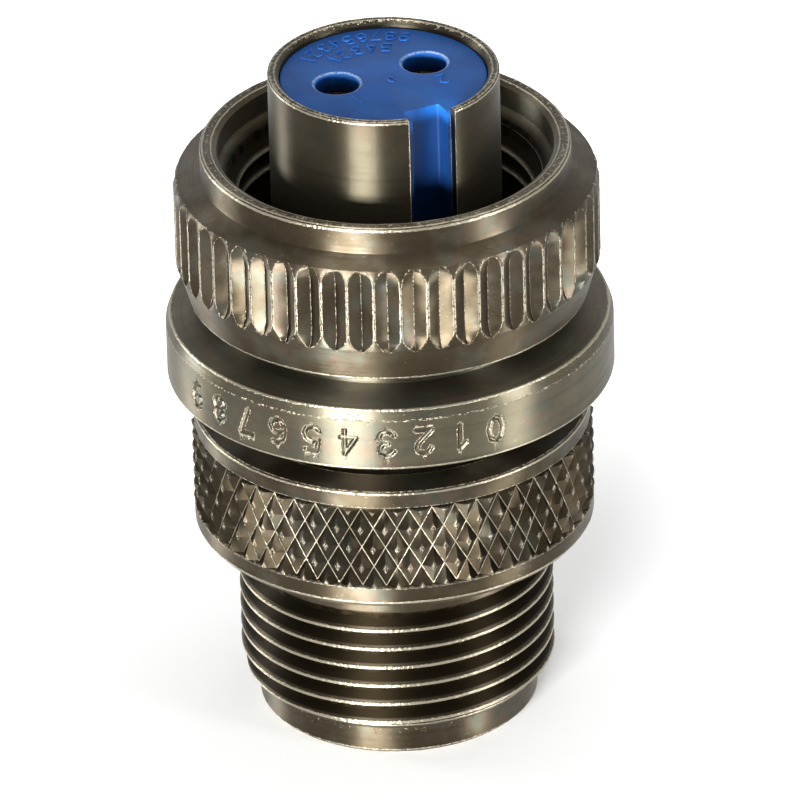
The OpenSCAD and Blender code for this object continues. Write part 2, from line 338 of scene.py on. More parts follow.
class Graph:
    """A node tree with short ways to add what the plug's finishes and geometry need."""

    def __init__(self, tree: bpy.types.NodeTree) -> None:
        """Take the tree that gets the nodes."""
        self.tree = tree

    def feed(self, node: bpy.types.Node, inputs: dict) -> bpy.types.Node:
        """Set a node's inputs by name or number, each to a constant, a value or a node's first output.

        Args:
            node: The node.
            inputs: Input name or number to what goes in.

        Returns:
            The same node.
        """
        for key, value in inputs.items():
            if isinstance(value, bpy.types.Node):
                value = value.outputs[0]
            if isinstance(value, Value):
                value = value.socket
            if isinstance(value, bpy.types.NodeSocket):
                self.tree.links.new(value, node.inputs[key])
            else:
                node.inputs[key].default_value = value
        return node

    def node(self, kind: str, inputs: dict | None = None, **settings: object) -> bpy.types.Node:
        """Add a node of a kind with its inputs and its settings.

        Args:
            kind: The node's type name.
            inputs: What goes into its inputs.
            settings: Properties of the node.

        Returns:
            The new node.
        """
        node = self.tree.nodes.new(kind)
        for key, value in settings.items():
            setattr(node, key, value)
        return self.feed(node, inputs or {})

    def value(self, kind: str, inputs: dict | None = None, out: int | str = 0, **settings: object) -> Value:
        """Add a node and take one of its outputs."""
        return Value(self, self.node(kind, inputs, **settings).outputs[out])

    def math(self, operation: str, *values: Value | float) -> Value:
        """Add a Math node with its values in order."""
        return self.value("ShaderNodeMath", dict(enumerate(values)), operation=operation)

    def vector(self, operation: str, inputs: dict, out: int | str = 0) -> Value:
        """Add a Vector Math node."""
        return self.value("ShaderNodeVectorMath", inputs, out, operation=operation)

    def place(self) -> tuple[Value, Value, Value, Value]:
        """The place on the piece in metres, and its X, Y and Z.

        Returns:
            The place and its three parts.
        """
        place = self.value("ShaderNodeTexCoord", out="Object")
        flat = self.node("ShaderNodeSeparateXYZ", {0: place})
        return place, *(Value(self, flat.outputs[axis]) for axis in "XYZ")

    def point(self, **parts: Value) -> Value:
        """Put X, Y and Z together."""
        return self.value("ShaderNodeCombineXYZ", parts)

    def mix(self, factor: Value | float, first: Value | str, second: Value | str) -> Value:
        """Mix two colours, each a value or a hex colour, from the first at factor 0 to the second at 1."""
        first, second = (linear(c) if isinstance(c, str) else c for c in (first, second))
        return self.value("ShaderNodeMix", {0: factor, 6: first, 7: second}, 2, data_type="RGBA")

    def spread(self, value: Value, low: float, high: float, to_low: float = 0.0, to_high: float = 1.0) -> Value:
        """Map low..high smoothly onto to_low..to_high, clamped.

        Args:
            value: What is mapped.
            low: Input that gives to_low.
            high: Input that gives to_high.
            to_low: Output at low.
            to_high: Output at high.

        Returns:
            The mapped value.
        """
        return self.value("ShaderNodeMapRange", {
            "Value": value, "From Min": low, "From Max": high, "To Min": to_low, "To Max": to_high},
            interpolation_type="SMOOTHSTEP")

    def noise(self, vector: Value, size_mm: float, detail: float = 2.0, roughness: float = 0.5) -> Value:
        """Noise whose grains have a size.

        Args:
            vector: Coordinates in metres.
            size_mm: Size of a grain.
            detail: Number of finer layers.
            roughness: Weight of the finer layers.

        Returns:
            The noise.
        """
        return self.value("ShaderNodeTexNoise", {
            "Vector": vector, "Scale": 1.0 / (size_mm * MM), "Detail": detail, "Roughness": roughness},
            noise_dimensions="3D")

    def bump(self, height: Value, strength: float, depth_mm: float, over: Value | None = None) -> Value:
        """A bump of a depth in millimetres, over another one where it's given.

        Args:
            height: What rises.
            strength: Share of the bump that shows.
            depth_mm: Its depth.
            over: The bump below it.

        Returns:
            The bent normal.
        """
        under = {"Normal": over} if over else {}
        return self.value("ShaderNodeBump", {
            "Height": height, "Strength": strength, "Distance": depth_mm * MM, **under})


def new_tree(name: str, **kinds: str) -> tuple[Graph, dict[str, Value], bpy.types.Node]:
    """Start a geometry tree with a geometry input and named inputs.

    Args:
        name: Name of the tree.
        kinds: Each input's name, with underscores for its spaces, and its type.

    Returns:
        The tree's graph, its inputs by name and its output node.
    """
    tree = bpy.data.node_groups.new(name, "GeometryNodeTree")
    for label, kind in {"Geometry": "Geometry", **kinds, "Finish": "Material"}.items():
        tree.interface.new_socket(label.replace("_", " "), in_out="INPUT", socket_type="NodeSocket" + kind)
    tree.interface.new_socket("Geometry", in_out="OUTPUT", socket_type="NodeSocketGeometry")
    graph = Graph(tree)
    given = graph.node("NodeGroupInput")
    return graph, {s.name: Value(graph, s) for s in given.outputs if s.name}, graph.node("NodeGroupOutput")


def ring_tree() -> bpy.types.NodeTree:
    """Tree that repeats a flat sector, rolls it round the axis and roughens the worn places.

    Returns:
        The tree, with inputs Copies, Sector width, Nominal radius, Burr and Finish.
    """
    graph, given, result = new_tree(
        "sector_ring", Copies="Int", Sector_width="Float", Nominal_radius="Float", Burr="Float")
    line = graph.node("GeometryNodeMeshLine", {
        "Count": given["Copies"], "Offset": graph.point(X=given["Sector width"])}, mode="OFFSET")
    copies = graph.node("GeometryNodeInstanceOnPoints", {"Points": line, "Instance": given["Geometry"]})
    real = graph.node("GeometryNodeRealizeInstances", {"Geometry": copies})
    flat = graph.node("ShaderNodeSeparateXYZ", {0: graph.node("GeometryNodeInputPosition")})
    along, radius, height = (Value(graph, flat.outputs[axis]) for axis in "XYZ")
    turn = along / given["Nominal radius"]
    rolled = graph.point(X=radius * graph.math("COSINE", turn), Y=radius * graph.math("SINE", turn), Z=height)
    wrapped = graph.node("GeometryNodeSetPosition", {"Geometry": real, "Position": rolled})
    # Noise of a fixed seed nudges the worn places.
    noise = graph.value("ShaderNodeTexNoise", {"Scale": 2.2 / MM, "Detail": 1.0}, "Color", noise_dimensions="3D")
    centred = graph.vector("SUBTRACT", {0: noise, 1: (0.5, 0.5, 0.5)})
    worn = graph.value("GeometryNodeInputNamedAttribute", {"Name": WEAR_AND_SHADE}, "Attribute", data_type="FLOAT")
    nudge = graph.vector("SCALE", {0: centred, "Scale": worn * given["Burr"]})
    rough = graph.node("GeometryNodeSetPosition", {"Geometry": wrapped, "Offset": nudge})
    merged = graph.node("GeometryNodeMergeByDistance", {"Geometry": rough, "Distance": MERGE})
    painted = graph.node("GeometryNodeSetMaterial", {"Geometry": merged, "Material": given["Finish"]})
    graph.feed(result, {0: painted})
    return graph.tree


def thread_tree() -> bpy.types.NodeTree:
    """Tree that adds a helical thread ridge to the geometry it is given.

    The ridge is a triangle with a narrow worn crest, swept along a spiral and faded out at both ends.

    Returns:
        The tree, with inputs Root radius, Ridge height, Pitch, Turns, Start height, Crest width, Base width,
        Steps, Fade, Phase and Finish.
    """
    graph, given, result = new_tree(
        "helical_thread", Root_radius="Float", Ridge_height="Float", Pitch="Float", Turns="Float",
        Start_height="Float", Crest_width="Float", Base_width="Float", Steps="Int", Fade="Float", Phase="Float")
    root, ridge, turns = (given[name] for name in ("Root radius", "Ridge height", "Turns"))
    steps = turns * given["Steps"]
    line = graph.node("GeometryNodeMeshLine", {"Count": steps, "Offset": (0.0, 0.0, MM)}, mode="OFFSET")
    along = graph.value("GeometryNodeInputIndex") / (steps - 1.0)
    turn = given["Phase"] + along * (turns * math.tau)
    spot = graph.point(X=root * graph.math("COSINE", turn), Y=root * graph.math("SINE", turn),
                       Z=given["Start height"] + along * (given["Pitch"] * turns))
    path = graph.node("GeometryNodeSetPosition", {"Geometry": line, "Position": spot})
    # How much of the ridge stands at each place: it fades over the first and the last part of a turn.
    from_start = along * turns
    nearest = graph.math("MINIMUM", from_start, turns - from_start)
    fade = graph.value("ShaderNodeMapRange", {"Value": nearest, "From Max": given["Fade"], "To Min": 0.02},
                       interpolation_type="SMOOTHSTEP")
    spiral = graph.node("GeometryNodeMeshToCurve", {"Mesh": path})
    upright = graph.node("GeometryNodeSetCurveNormal", {"Curve": spiral}, mode="Z_UP")
    # The section: four points, the base a little below the root and the crest above it.
    sink, base, crest = ridge * -0.12, given["Base width"] * 0.5, given["Crest width"] * 0.5
    section = graph.node("GeometryNodeCurvePrimitiveQuadrilateral", mode="POINTS")
    for number, (out, across, side) in enumerate(
            ((sink, base, 1.0), (ridge, crest, 1.0), (ridge, crest, -1.0), (sink, base, -1.0)), 1):
        graph.feed(section, {f"Point {number}": graph.point(X=out, Y=across * side)})
    # Wear runs from well below zero at the base to one at the crest, so that only the crest shows worn metal and the
    # flanks and base get painted shade in the darker brown.
    off_middle = graph.math("ABSOLUTE", graph.value("GeometryNodeInputIndex") - 1.5)
    wear = graph.math("MULTIPLY_ADD", graph.math("COMPARE", off_middle, 0.5, 0.1), 9.0, -8.0)
    marked = graph.node("GeometryNodeStoreNamedAttribute", {"Geometry": section, "Name": WEAR_AND_SHADE, "Value": wear},
                        data_type="FLOAT", domain="POINT")
    swept = graph.node("GeometryNodeCurveToMesh", {
        "Curve": upright, "Profile Curve": marked, "Scale": fade, "Fill Caps": True})
    joined = graph.node("GeometryNodeJoinGeometry", {0: swept})
    graph.feed(joined, {0: given["Geometry"]})
    real = graph.node("GeometryNodeRealizeInstances", {"Geometry": joined})
    painted = graph.node("GeometryNodeSetMaterial", {"Geometry": real, "Material": given["Finish"]})
    graph.feed(result, {0: painted})
    return graph.tree


@dataclass
class Workshop:
    """The geometry trees that the plated pieces share. Sizes in millimetres."""

    ring: bpy.types.NodeTree = field(default_factory=ring_tree)
    thread: bpy.types.NodeTree = field(default_factory=thread_tree)

    def roll(self, name: str, strips: list[list[Row]], copies: int, radius: float, burr: float) -> Thing:
        """Repeat a flat sector round the axis.

        Args:
            name: Name of the piece.
            strips: The sector's rows.
            copies: Number of sectors in the ring.
            radius: Radius on which the sector has its true width.
            burr: How far noise nudges a fully worn point.

        Returns:
            The ring's object.
        """
        return run_tree(new_object(name, sector_mesh(name, strips)), self.ring, {
            "Copies": copies, "Sector width": math.tau * radius / copies * MM, "Nominal radius": radius * MM,
            "Burr": burr * MM})

    def wind(self, base: Thing, root: float, crest: float, start: float, turns: float, steps: int,
             fade: float, phase: float, crest_width: float = 0.13, base_width: float = 1.04) -> Thing:
        """Add a thread's ridge to a piece.

        Args:
            base: The piece.
            root: Radius of the thread's root.
            crest: Radius of its crest, smaller than the root for an internal thread.
            start: Height of the ridge's start.
            turns: Number of turns.
            steps: Points in each turn.
            fade: Part of a turn over which each end fades out.
            phase: Angle of the start in radians.
            crest_width: Width of the flat on the crest.
            base_width: Width of the ridge at its base.

        Returns:
            The same piece.
        """
        return run_tree(base, self.thread, {
            "Root radius": root * MM, "Ridge height": (crest - root) * MM, "Pitch": PITCH * MM, "Turns": turns,
            "Start height": start * MM, "Crest width": crest_width * MM, "Base width": base_width * MM,
            "Steps": steps, "Fade": fade, "Phase": phase})


# ---- Named options ----


class Body(Enum):
    """The moving bodies that the pieces ride on."""

    BELL = "bell"
    SHELL = "shell"
    NUT = "nut"


class Slot(Enum):
    """The record's material slots of the pieces that are made here."""

    BELL = "olive_plating"
    BARREL = "barrel_plating"
    NUT = "nut_plating"
    INSERT = "blue_insert"


# ---- Finishes ----


def start_material(name: str) -> tuple[bpy.types.Material, Graph, bpy.types.Node]:
    """Start a material with a Principled shader.

    Args:
        name: Name of the material.

    Returns:
        The material, its graph and the shader's node.
    """
    material = bpy.data.materials.new(name)
    material.use_nodes = True
    graph = Graph(material.node_tree)
    graph.tree.nodes.clear()
    shader = graph.node("ShaderNodeBsdfPrincipled")
    graph.node("ShaderNodeOutputMaterial", {0: shader})
    return material, graph, shader


@dataclass(frozen=True)
class Plating:
    """Satin olive-bronze cadmium-like plating on turned aluminium, worn light on its edges."""

    name: str
    tone: str = "#443c2f"
    pale: str = "#554d3e"
    deep: str = "#2c281f"
    shade_brown: str = "#231d13"
    bare: str = "#9e9683"
    violet: str = "#66574f"
    green: str = "#4b5a56"
    tube_r_mm: float = 6.5
    tube_low_mm: float = 26.0
    roughness: float = 0.42
    line_mm: float = 0.035
    line_depth_mm: float = 0.0015
    grain_depth_mm: float = 0.002
    dent_depth_mm: float = 0.05
    anisotropy: float = 0.95

    def build(self) -> bpy.types.Material:
        """Build the node tree.

        Returns:
            The finished material.
        """
        material, graph, shader = start_material(self.name)
        mix, spread, noise = graph.mix, graph.spread, graph.noise
        place, x, y, z = graph.place()
        across = graph.point(X=x, Y=y)
        radius = graph.vector("LENGTH", {0: across}, "Value")
        # Turning marks run round the axis: they change with radius and height, and slowly round the rim.
        slow = graph.vector("SCALE", {0: place, "Scale": 0.012})
        turned_at = graph.vector("ADD", {0: graph.point(X=radius, Z=z), 1: slow})
        lines = noise(turned_at, self.line_mm, 3.0, 0.6)
        bands = noise(turned_at, self.line_mm * 9)
        # Cloudy plating, fine grain and a few scratches.
        clouds = noise(place, 2.6, 3.0, 0.55)
        blush = noise(place, 0.9)
        grain = noise(place, 0.07, 2.0, 0.6)
        speck = noise(place, 0.16, 1.0)
        stretched = graph.value("ShaderNodeMapping", {
            "Vector": place, "Rotation": (0.5, 0.9, 0.3), "Scale": (1.0, 9.0, 6.0)})
        scratch = spread(noise(stretched, 0.9, 1.0), 0.7, 0.76)
        worn = graph.value("ShaderNodeAttribute", out="Fac", attribute_name=WEAR_AND_SHADE)
        ragged = (worn + graph.math("MULTIPLY_ADD", grain, 0.8, -0.4)
                  + graph.math("MULTIPLY_ADD", speck, 1.2, -0.6))
        bright = spread(ragged, 0.42, 0.75)
        colour = mix(spread(clouds, 0.35, 0.7), self.tone, self.pale)
        colour = mix(spread(bands, 0.5, 0.8, 0.0, 0.35), colour, self.deep)
        colour = mix(spread(speck, 0.7, 0.8, 0.0, 0.3), colour, self.deep)
        warm = mix(spread(blush, 0.42, 0.58), self.violet, self.green)
        colour = mix(spread(clouds, 0.45, 0.62, 0.0, 0.3), colour, warm)
        colour = mix(scratch * 0.15, colour, self.bare)
        # Painted shade: the threads and recesses (wear below zero), and at 0.6 the tube inside the nut's lip, are
        # mixed towards the darker shade brown.
        tube = (graph.math("LESS_THAN", radius, self.tube_r_mm * MM)
                * graph.math("GREATER_THAN", z, self.tube_low_mm * MM))
        painted_shade = graph.math("MAXIMUM", spread(worn, -0.3, -1.6), tube * 0.6)
        colour = mix(bright, mix(painted_shade, colour, self.shade_brown), self.bare)
        rough = (spread(lines, 0.3, 0.7, self.roughness - 0.07, self.roughness + 0.07)
                 + graph.math("MULTIPLY_ADD", grain, 0.12, -0.06) + spread(worn, -0.15, -0.9, 0.0, 0.2))
        tangent = graph.vector("NORMALIZE", {0: graph.vector("CROSS_PRODUCT", {0: across, 1: (0.0, 0.0, 1.0)})})
        skin = graph.bump(grain, 1.0, self.grain_depth_mm, graph.bump(lines, 1.0, self.line_depth_mm))
        graph.feed(shader, {
            "Base Color": colour, "Roughness": rough, "Metallic": 1.0, "Anisotropic": self.anisotropy,
            "Anisotropic Rotation": 0.25, "Tangent": tangent,
            "Normal": graph.bump(bright * speck, 0.8, self.dent_depth_mm, skin)})
        return material


@dataclass(frozen=True)
class Moulding:
    """Blue moulded insulator: a slightly soft, satin resin with pale rubbed edges round the contact holes."""

    name: str
    tone: str = "#1a5caa"
    deep: str = "#15509a"
    shade: str = "#041a3c"
    pale: str = "#9fb6d6"
    face_z_mm: float = 34.8
    hole_x_mm: float = 2.39
    hole_y_mm: float = 0.3
    hole_edge_mm: float = 1.19

    def build(self) -> bpy.types.Material:
        """Build the node tree.

        Returns:
            The finished material.
        """
        material, graph, shader = start_material(self.name)
        mix, spread = graph.mix, graph.spread
        place, x, y, z = graph.place()
        aside, ahead = graph.math("ABSOLUTE", x) - self.hole_x_mm * MM, y - self.hole_y_mm * MM
        from_hole = graph.math("SQRT", aside * aside + ahead * ahead)
        off_edge = graph.math("ABSOLUTE", from_hole - self.hole_edge_mm * MM)
        grain, clouds = graph.noise(place, 0.12), graph.noise(place, 2.2)
        on_face = graph.math("GREATER_THAN", z, (self.face_z_mm - 0.14) * MM)
        rim = spread(off_edge, 0.03 * MM, 0.085 * MM, 1.0, 0.0) * on_face
        colour = mix(spread(clouds, 0.35, 0.7), self.tone, self.deep)
        colour = mix(spread(grain, 0.55, 0.8, 0.0, 0.18), colour, self.deep)
        # Painted shade: below the face, in the holes and the key channel, the resin is mixed towards the darker shade
        # colour.
        sunk_shade = spread(z, (self.face_z_mm - 0.1) * MM, (self.face_z_mm - 0.9) * MM, 0.0, 0.85)
        colour = mix(sunk_shade, colour, self.shade)
        colour = mix(rim * spread(grain, 0.3, 0.65, 0.15, 0.85), colour, self.pale)
        graph.feed(shader, {
            "Base Color": colour, "Roughness": spread(grain, 0.3, 0.7, 0.42, 0.55), "Specular IOR Level": 0.22,
            "Normal": graph.bump(clouds, 0.5, 0.04, graph.bump(grain, 0.6, 0.006))})
        return material


@dataclass(frozen=True)
class PlainMetal:
    """A machined or drawn metal: spring steel, stainless sleeve or plated contact alloy."""

    name: str
    tone: str
    tarnish: str
    roughness: float
    line_mm: float = 0.04
    line_depth_mm: float = 0.004

    def build(self) -> bpy.types.Material:
        """Build the node tree.

        Returns:
            The finished material.
        """
        material, graph, shader = start_material(self.name)
        place = graph.value("ShaderNodeTexCoord", out="Object")
        squeezed = graph.value("ShaderNodeMapping", {"Vector": place, "Scale": (0.2, 0.2, 1.0)})
        lines = graph.noise(squeezed, self.line_mm)
        cloudy = graph.spread(graph.noise(place, 0.8), 0.45, 0.75, 0.0, 0.6)
        graph.feed(shader, {
            "Base Color": graph.mix(cloudy, self.tone, self.tarnish), "Metallic": 1.0,
            "Roughness": graph.spread(lines, 0.3, 0.7, self.roughness - 0.06, self.roughness + 0.1),
            "Normal": graph.bump(lines, 0.6, self.line_depth_mm)})
        return material


# ---- Numerals ----

# Strokes of plain numerals in a box 0.6 wide and 1 high.
NUMERALS: dict[str, list[tuple[float, float]]] = {
    "0": [(0.3, 0), (0.1, 0.12), (0, 0.5), (0.1, 0.88), (0.3, 1), (0.5, 0.88), (0.6, 0.5), (0.5, 0.12), (0.3, 0)],
    "1": [(0.1, 0.78), (0.33, 1), (0.33, 0)],
    "2": [(0.02, 0.78), (0.12, 0.95), (0.3, 1), (0.5, 0.93), (0.57, 0.75), (0.5, 0.55), (0, 0), (0.6, 0)],
    "3": [(0.03, 0.86), (0.15, 0.97), (0.32, 1), (0.52, 0.9), (0.55, 0.73), (0.43, 0.56), (0.24, 0.53),
          (0.47, 0.48), (0.6, 0.28), (0.5, 0.07), (0.3, 0), (0.12, 0.04), (0, 0.17)],
    "4": [(0.45, 0), (0.45, 1), (0, 0.3), (0.6, 0.3)],
    "5": [(0.55, 1), (0.1, 1), (0.05, 0.56), (0.3, 0.62), (0.52, 0.52), (0.6, 0.3), (0.5, 0.08), (0.28, 0),
          (0.1, 0.04), (0, 0.16)],
    "6": [(0.5, 0.96), (0.3, 1), (0.1, 0.83), (0, 0.45), (0.04, 0.18), (0.15, 0.04), (0.3, 0), (0.5, 0.07),
          (0.6, 0.28), (0.5, 0.5), (0.3, 0.57), (0.1, 0.48), (0.01, 0.3)],
    "7": [(0, 1), (0.6, 1), (0.22, 0)],
    "8": [(0.3, 0.54), (0.1, 0.62), (0.05, 0.8), (0.15, 0.95), (0.3, 1), (0.45, 0.95), (0.55, 0.8), (0.5, 0.62),
          (0.3, 0.54), (0.08, 0.43), (0, 0.25), (0.1, 0.06), (0.3, 0), (0.5, 0.06), (0.6, 0.25), (0.52, 0.43),
          (0.3, 0.54)],
    "9": [(0.1, 0.04), (0.3, 0), (0.5, 0.17), (0.6, 0.55), (0.56, 0.82), (0.45, 0.96), (0.3, 1), (0.1, 0.93),
          (0, 0.72), (0.1, 0.5), (0.3, 0.43), (0.5, 0.52), (0.59, 0.7)],
}


def stroke_distance(strokes: list[tuple[float, float]], x: float, y: float) -> float:
    """Distance from a point to a numeral's stroke, in the numeral's own units.

    Args:
        strokes: Corners of the numeral's line.
        x: Place across the numeral.
        y: Place up the numeral.

    Returns:
        The distance.
    """
    best = math.inf
    for (ax, ay), (bx, by) in zip(strokes, strokes[1:]):
        dx, dy = bx - ax, by - ay
        t = min(1.0, max(0.0, ((x - ax) * dx + (y - ay) * dy) / (dx * dx + dy * dy)))
        best = min(best, math.hypot(x - ax - t * dx, y - ay - t * dy))
    return best


@dataclass(frozen=True)
class StampedRow:
    """A row of plain numerals stamped upside down into a cylinder's side."""

    text: str = "9876543210"
    first_deg: float = -84.0
    step_deg: float = 9.6
    height_mm: float = 1.3
    middle_z_mm: float = 20.2
    radius_mm: float = 11.2
    stroke_mm: float = 0.075
    depth_mm: float = 0.11
    fine_columns: int = 30
    fine_rows: int = 40

    def columns(self) -> list[float]:
        """Angles of the fine columns that the numerals need, in degrees from the keyway.

        Returns:
            The angles, numeral by numeral.
        """
        half = math.degrees(0.5 * self.height_mm / self.radius_mm)
        return [self.first_deg + number * self.step_deg + half * (2 * k / self.fine_columns - 1)
                for number in range(len(self.text)) for k in range(self.fine_columns + 1)]

    def levels(self) -> list[float]:
        """Heights of the fine rows that the numerals need."""
        low = self.middle_z_mm - 0.62 * self.height_mm
        return [low + 1.24 * self.height_mm * k / self.fine_rows for k in range(self.fine_rows + 1)]

    def press(self, angle_deg: float, z: float) -> tuple[float, float]:
        """How far the surface is pressed in at a place, and how bright its burr is.

        Args:
            angle_deg: Angle from the keyway.
            z: Height in millimetres.

        Returns:
            The change of the radius in millimetres, and the wear.
        """
        number = round((angle_deg - self.first_deg) / self.step_deg)
        off = math.radians(angle_deg - self.first_deg - number * self.step_deg) * self.radius_mm
        rise = z - self.middle_z_mm
        beside = abs(off) > 0.6 * self.height_mm or abs(rise) > 0.65 * self.height_mm
        if beside or not 0 <= number < len(self.text):
            return 0.0, 0.0
        gap = self.height_mm * stroke_distance(
            NUMERALS[self.text[number]], 0.3 - off / self.height_mm, 0.5 - rise / self.height_mm)
        inside = max(0.0, 1.0 - gap / (1.9 * self.stroke_mm))
        burr = max(0.0, 1.0 - abs(gap - 2.0 * self.stroke_mm) / (0.8 * self.stroke_mm))
        return -self.depth_mm * min(1.0, 1.6 * inside), 0.75 * burr


# ---- Pieces ----


def finished(thing: Thing, body: Body, slot: Slot, finish: bpy.types.Material, node: str) -> None:
    """Clean a piece, dress it and hand it to its body.

    Args:
        thing: Object to finish.
        body: Body that it rides on.
        slot: Material slot of its finish; not used.
        finish: Its material.
        node: CAD node that it replaces.
    """
    tidy_mesh(thing.data, SHARP_DEG)
    thing.data.materials.clear()
    thing.data.materials.append(finish)
    for face in thing.data.polygons:
        face.material_index = 0
    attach(thing, body.value)
    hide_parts(node)
    LOG.info("%s: %d faces, %d open edges", thing.name, len(thing.data.polygons), open_edges(thing.data))


@dataclass
class EndBell:
    """Solid end bell: pilot, cable clamp thread, knurled grip and polished lip. Sizes in millimetres."""

    pilot_r: float = 7.03
    pilot_top: float = 1.5
    root_r: float = 7.3
    crest_r: float = 7.93
    neck_r: float = 7.9
    rim_r: float = 10.05
    rim_low: float = 10.45
    bell_r: float = 10.1
    knurl_low: float = 11.32
    knurl_high: float = 15.64
    knurl_depth: float = 0.36
    knurl_count: int = 52
    levels: int = 4
    plateau: float = 0.2
    lip_r: float = 9.95
    top: float = 16.7
    bore_r: float = 5.5
    thread_bore_r: float = 7.9875
    burr: float = 0.055

    def lower_outline(self) -> Profile:
        """Outline from the cable bore's rim round the outside up to the knurl.

        Returns:
            The open outline.
        """
        line = Profile().to(self.bore_r, 0.3).to(5.8, 0.0).to(6.6, 0.0)
        line.edge(6.83, 0.0, (6.6, 0.0), (self.pilot_r, 0.2), 0.04, 0.05, 0.6)
        line.edge(self.pilot_r, 0.2, (6.83, 0.0), (self.pilot_r, self.pilot_top), 0.04, 0.06, 0.7)
        line.to(self.pilot_r, 0.8).to(self.pilot_r, self.pilot_top - 0.04, 0.3).to(7.0, self.pilot_top)
        line.to(7.12, self.pilot_top + 0.03, 0.3).edge(7.42, 1.86, (7.12, 1.53), (7.3, 2.0), 0.06, 0.06)
        # The clamp thread's roots carry negative wear: painted shade in the darker brown.
        line.rise(self.root_r, 2.05, 5.0, 8.25, wear=ROOT_SHADE).to(self.neck_r - 0.05, 8.66)
        line.rise(self.neck_r, 8.72, 9.2, 9.55).to(7.98, 9.63)
        line.to(9.72, 10.13).edge(9.8, 10.16, (9.72, 10.13), (10.02, 10.42), 0.05, 0.05, 0.25)
        line.edge(self.rim_r, self.rim_low, (9.83, 10.2), (self.rim_r, 11.2), 0.05, 0.07, 0.9)
        line.to(self.rim_r, 10.9).to(self.rim_r, 11.2, 0.1).to(self.rim_r, 11.27, 0.8)
        return line.to(self.bell_r - self.knurl_depth - 0.02, self.knurl_low - 0.01)

    def upper_outline(self) -> Profile:
        """Outline from the knurl over the lip and down the inside.

        Returns:
            The open outline.
        """
        line = Profile().to(9.72, self.knurl_high + 0.01).to(9.72, 15.78)
        line.edge(self.lip_r, 15.8, (9.75, 15.8), (self.lip_r, 16.4), 0.04, 0.05, 0.6)
        line.to(self.lip_r, 16.2).edge(self.lip_r, 16.6, (self.lip_r, 16.2), (9.85, self.top), 0.05, 0.05, 0.9)
        line.edge(9.85, self.top, (9.92, 16.63), (9.3, self.top), 0.04, 0.05, 0.6)
        line.to(9.0, self.top).edge(8.1, self.top, (8.6, self.top), (7.99, 16.58), 0.04, 0.06, 0.6)
        return line.rise(self.thread_bore_r, 16.55, 13.0, 10.0).rise(self.bore_r, 10.0, 5.0)

    def knurl_marks(self) -> list[tuple[float, float, float]]:
        """Steps from a tip to its groove: share of the way, radius, and wear. The worn tip is real wear, the flanks'
        negative values paint shade and the bright groove is a painted highlight.

        Returns:
            Seven steps.
        """
        return [(along, self.bell_r - drop * self.knurl_depth, wear) for along, drop, wear in (
            (0.0, 0.0, 0.7), (self.plateau * 0.6, 0.03, 0.4), (self.plateau, 0.08, 0.6),
            (self.plateau + 0.12, 0.22, -0.95), (0.93, 0.95, -0.95), (0.965, 0.98, 0.7), (1.0, 1.0, 0.9))]

    def knurl_fans(self, half: float) -> list[list[Row]]:
        """Fans from each tip to its diamond's grooves.

        Args:
            half: Half the sector's width.

        Returns:
            A list of fans, each a list of rows from the tip to the groove.
        """
        step = (self.knurl_high - self.knurl_low) / self.levels
        fans = []
        for level in range(self.levels):
            for cell in (-1, 0):
                corners = [(cell, level), (cell + 1, level), (cell + 1, level + 1), (cell, level + 1)]
                first, second = (c for c in corners if sum(c) % 2 == 0)
                for tip in (c for c in corners if sum(c) % 2 == 1):
                    rows = []
                    for along, r, wear in self.knurl_marks():
                        row = []
                        for share in ([0.0] if along == 0 else [0.0, 0.5, 1.0]):
                            j, m = (t + along * ((a - t) * (1 - share) + (b - t) * share)
                                    for t, a, b in zip(tip, first, second))
                            row.append((j * half, r, self.knurl_low + m * step, wear))
                        rows.append(row)
                    fans.append(rows)
        return fans

    def knurl_edge(self, half: float, z: float) -> Row:
        """The row where the knurl meets the plain ring below or above it.

        Args:
            half: Half the sector's width.
            z: Its height.

        Returns:
            The row, with as many points as the knurl has there.
        """
        left = [((along - 1) * half, r, z, wear) for along, r, wear in self.knurl_marks()[:-1]]
        right = [(-u, r, z, wear) for u, r, _, wear in reversed(left)]
        # The middle point lies in the groove; its bright value is a painted highlight.
        return [*left, (0.0, self.bell_r - self.knurl_depth, z, 0.6), *right]

    def build(self, shop: Workshop) -> Thing:
        """Build the bell from one sector and its clamp thread.

        Args:
            shop: The workshop with the shared geometry trees.

        Returns:
            The bell's object.
        """
        half = math.pi * self.bell_r / self.knurl_count
        lower = [plain_row(half, *p) for p in self.lower_outline().points]
        upper = [plain_row(half, *p) for p in self.upper_outline().points]
        strips = [[*lower, self.knurl_edge(half, self.knurl_low)],
                  [self.knurl_edge(half, self.knurl_high), *upper, lower[0]], *self.knurl_fans(half)]
        base = shop.roll("bell_shell", strips, self.knurl_count, self.bell_r, self.burr)
        return shop.wind(base, self.root_r, self.crest_r, start=1.6, turns=6.55, steps=144, fade=0.75, phase=0.0)


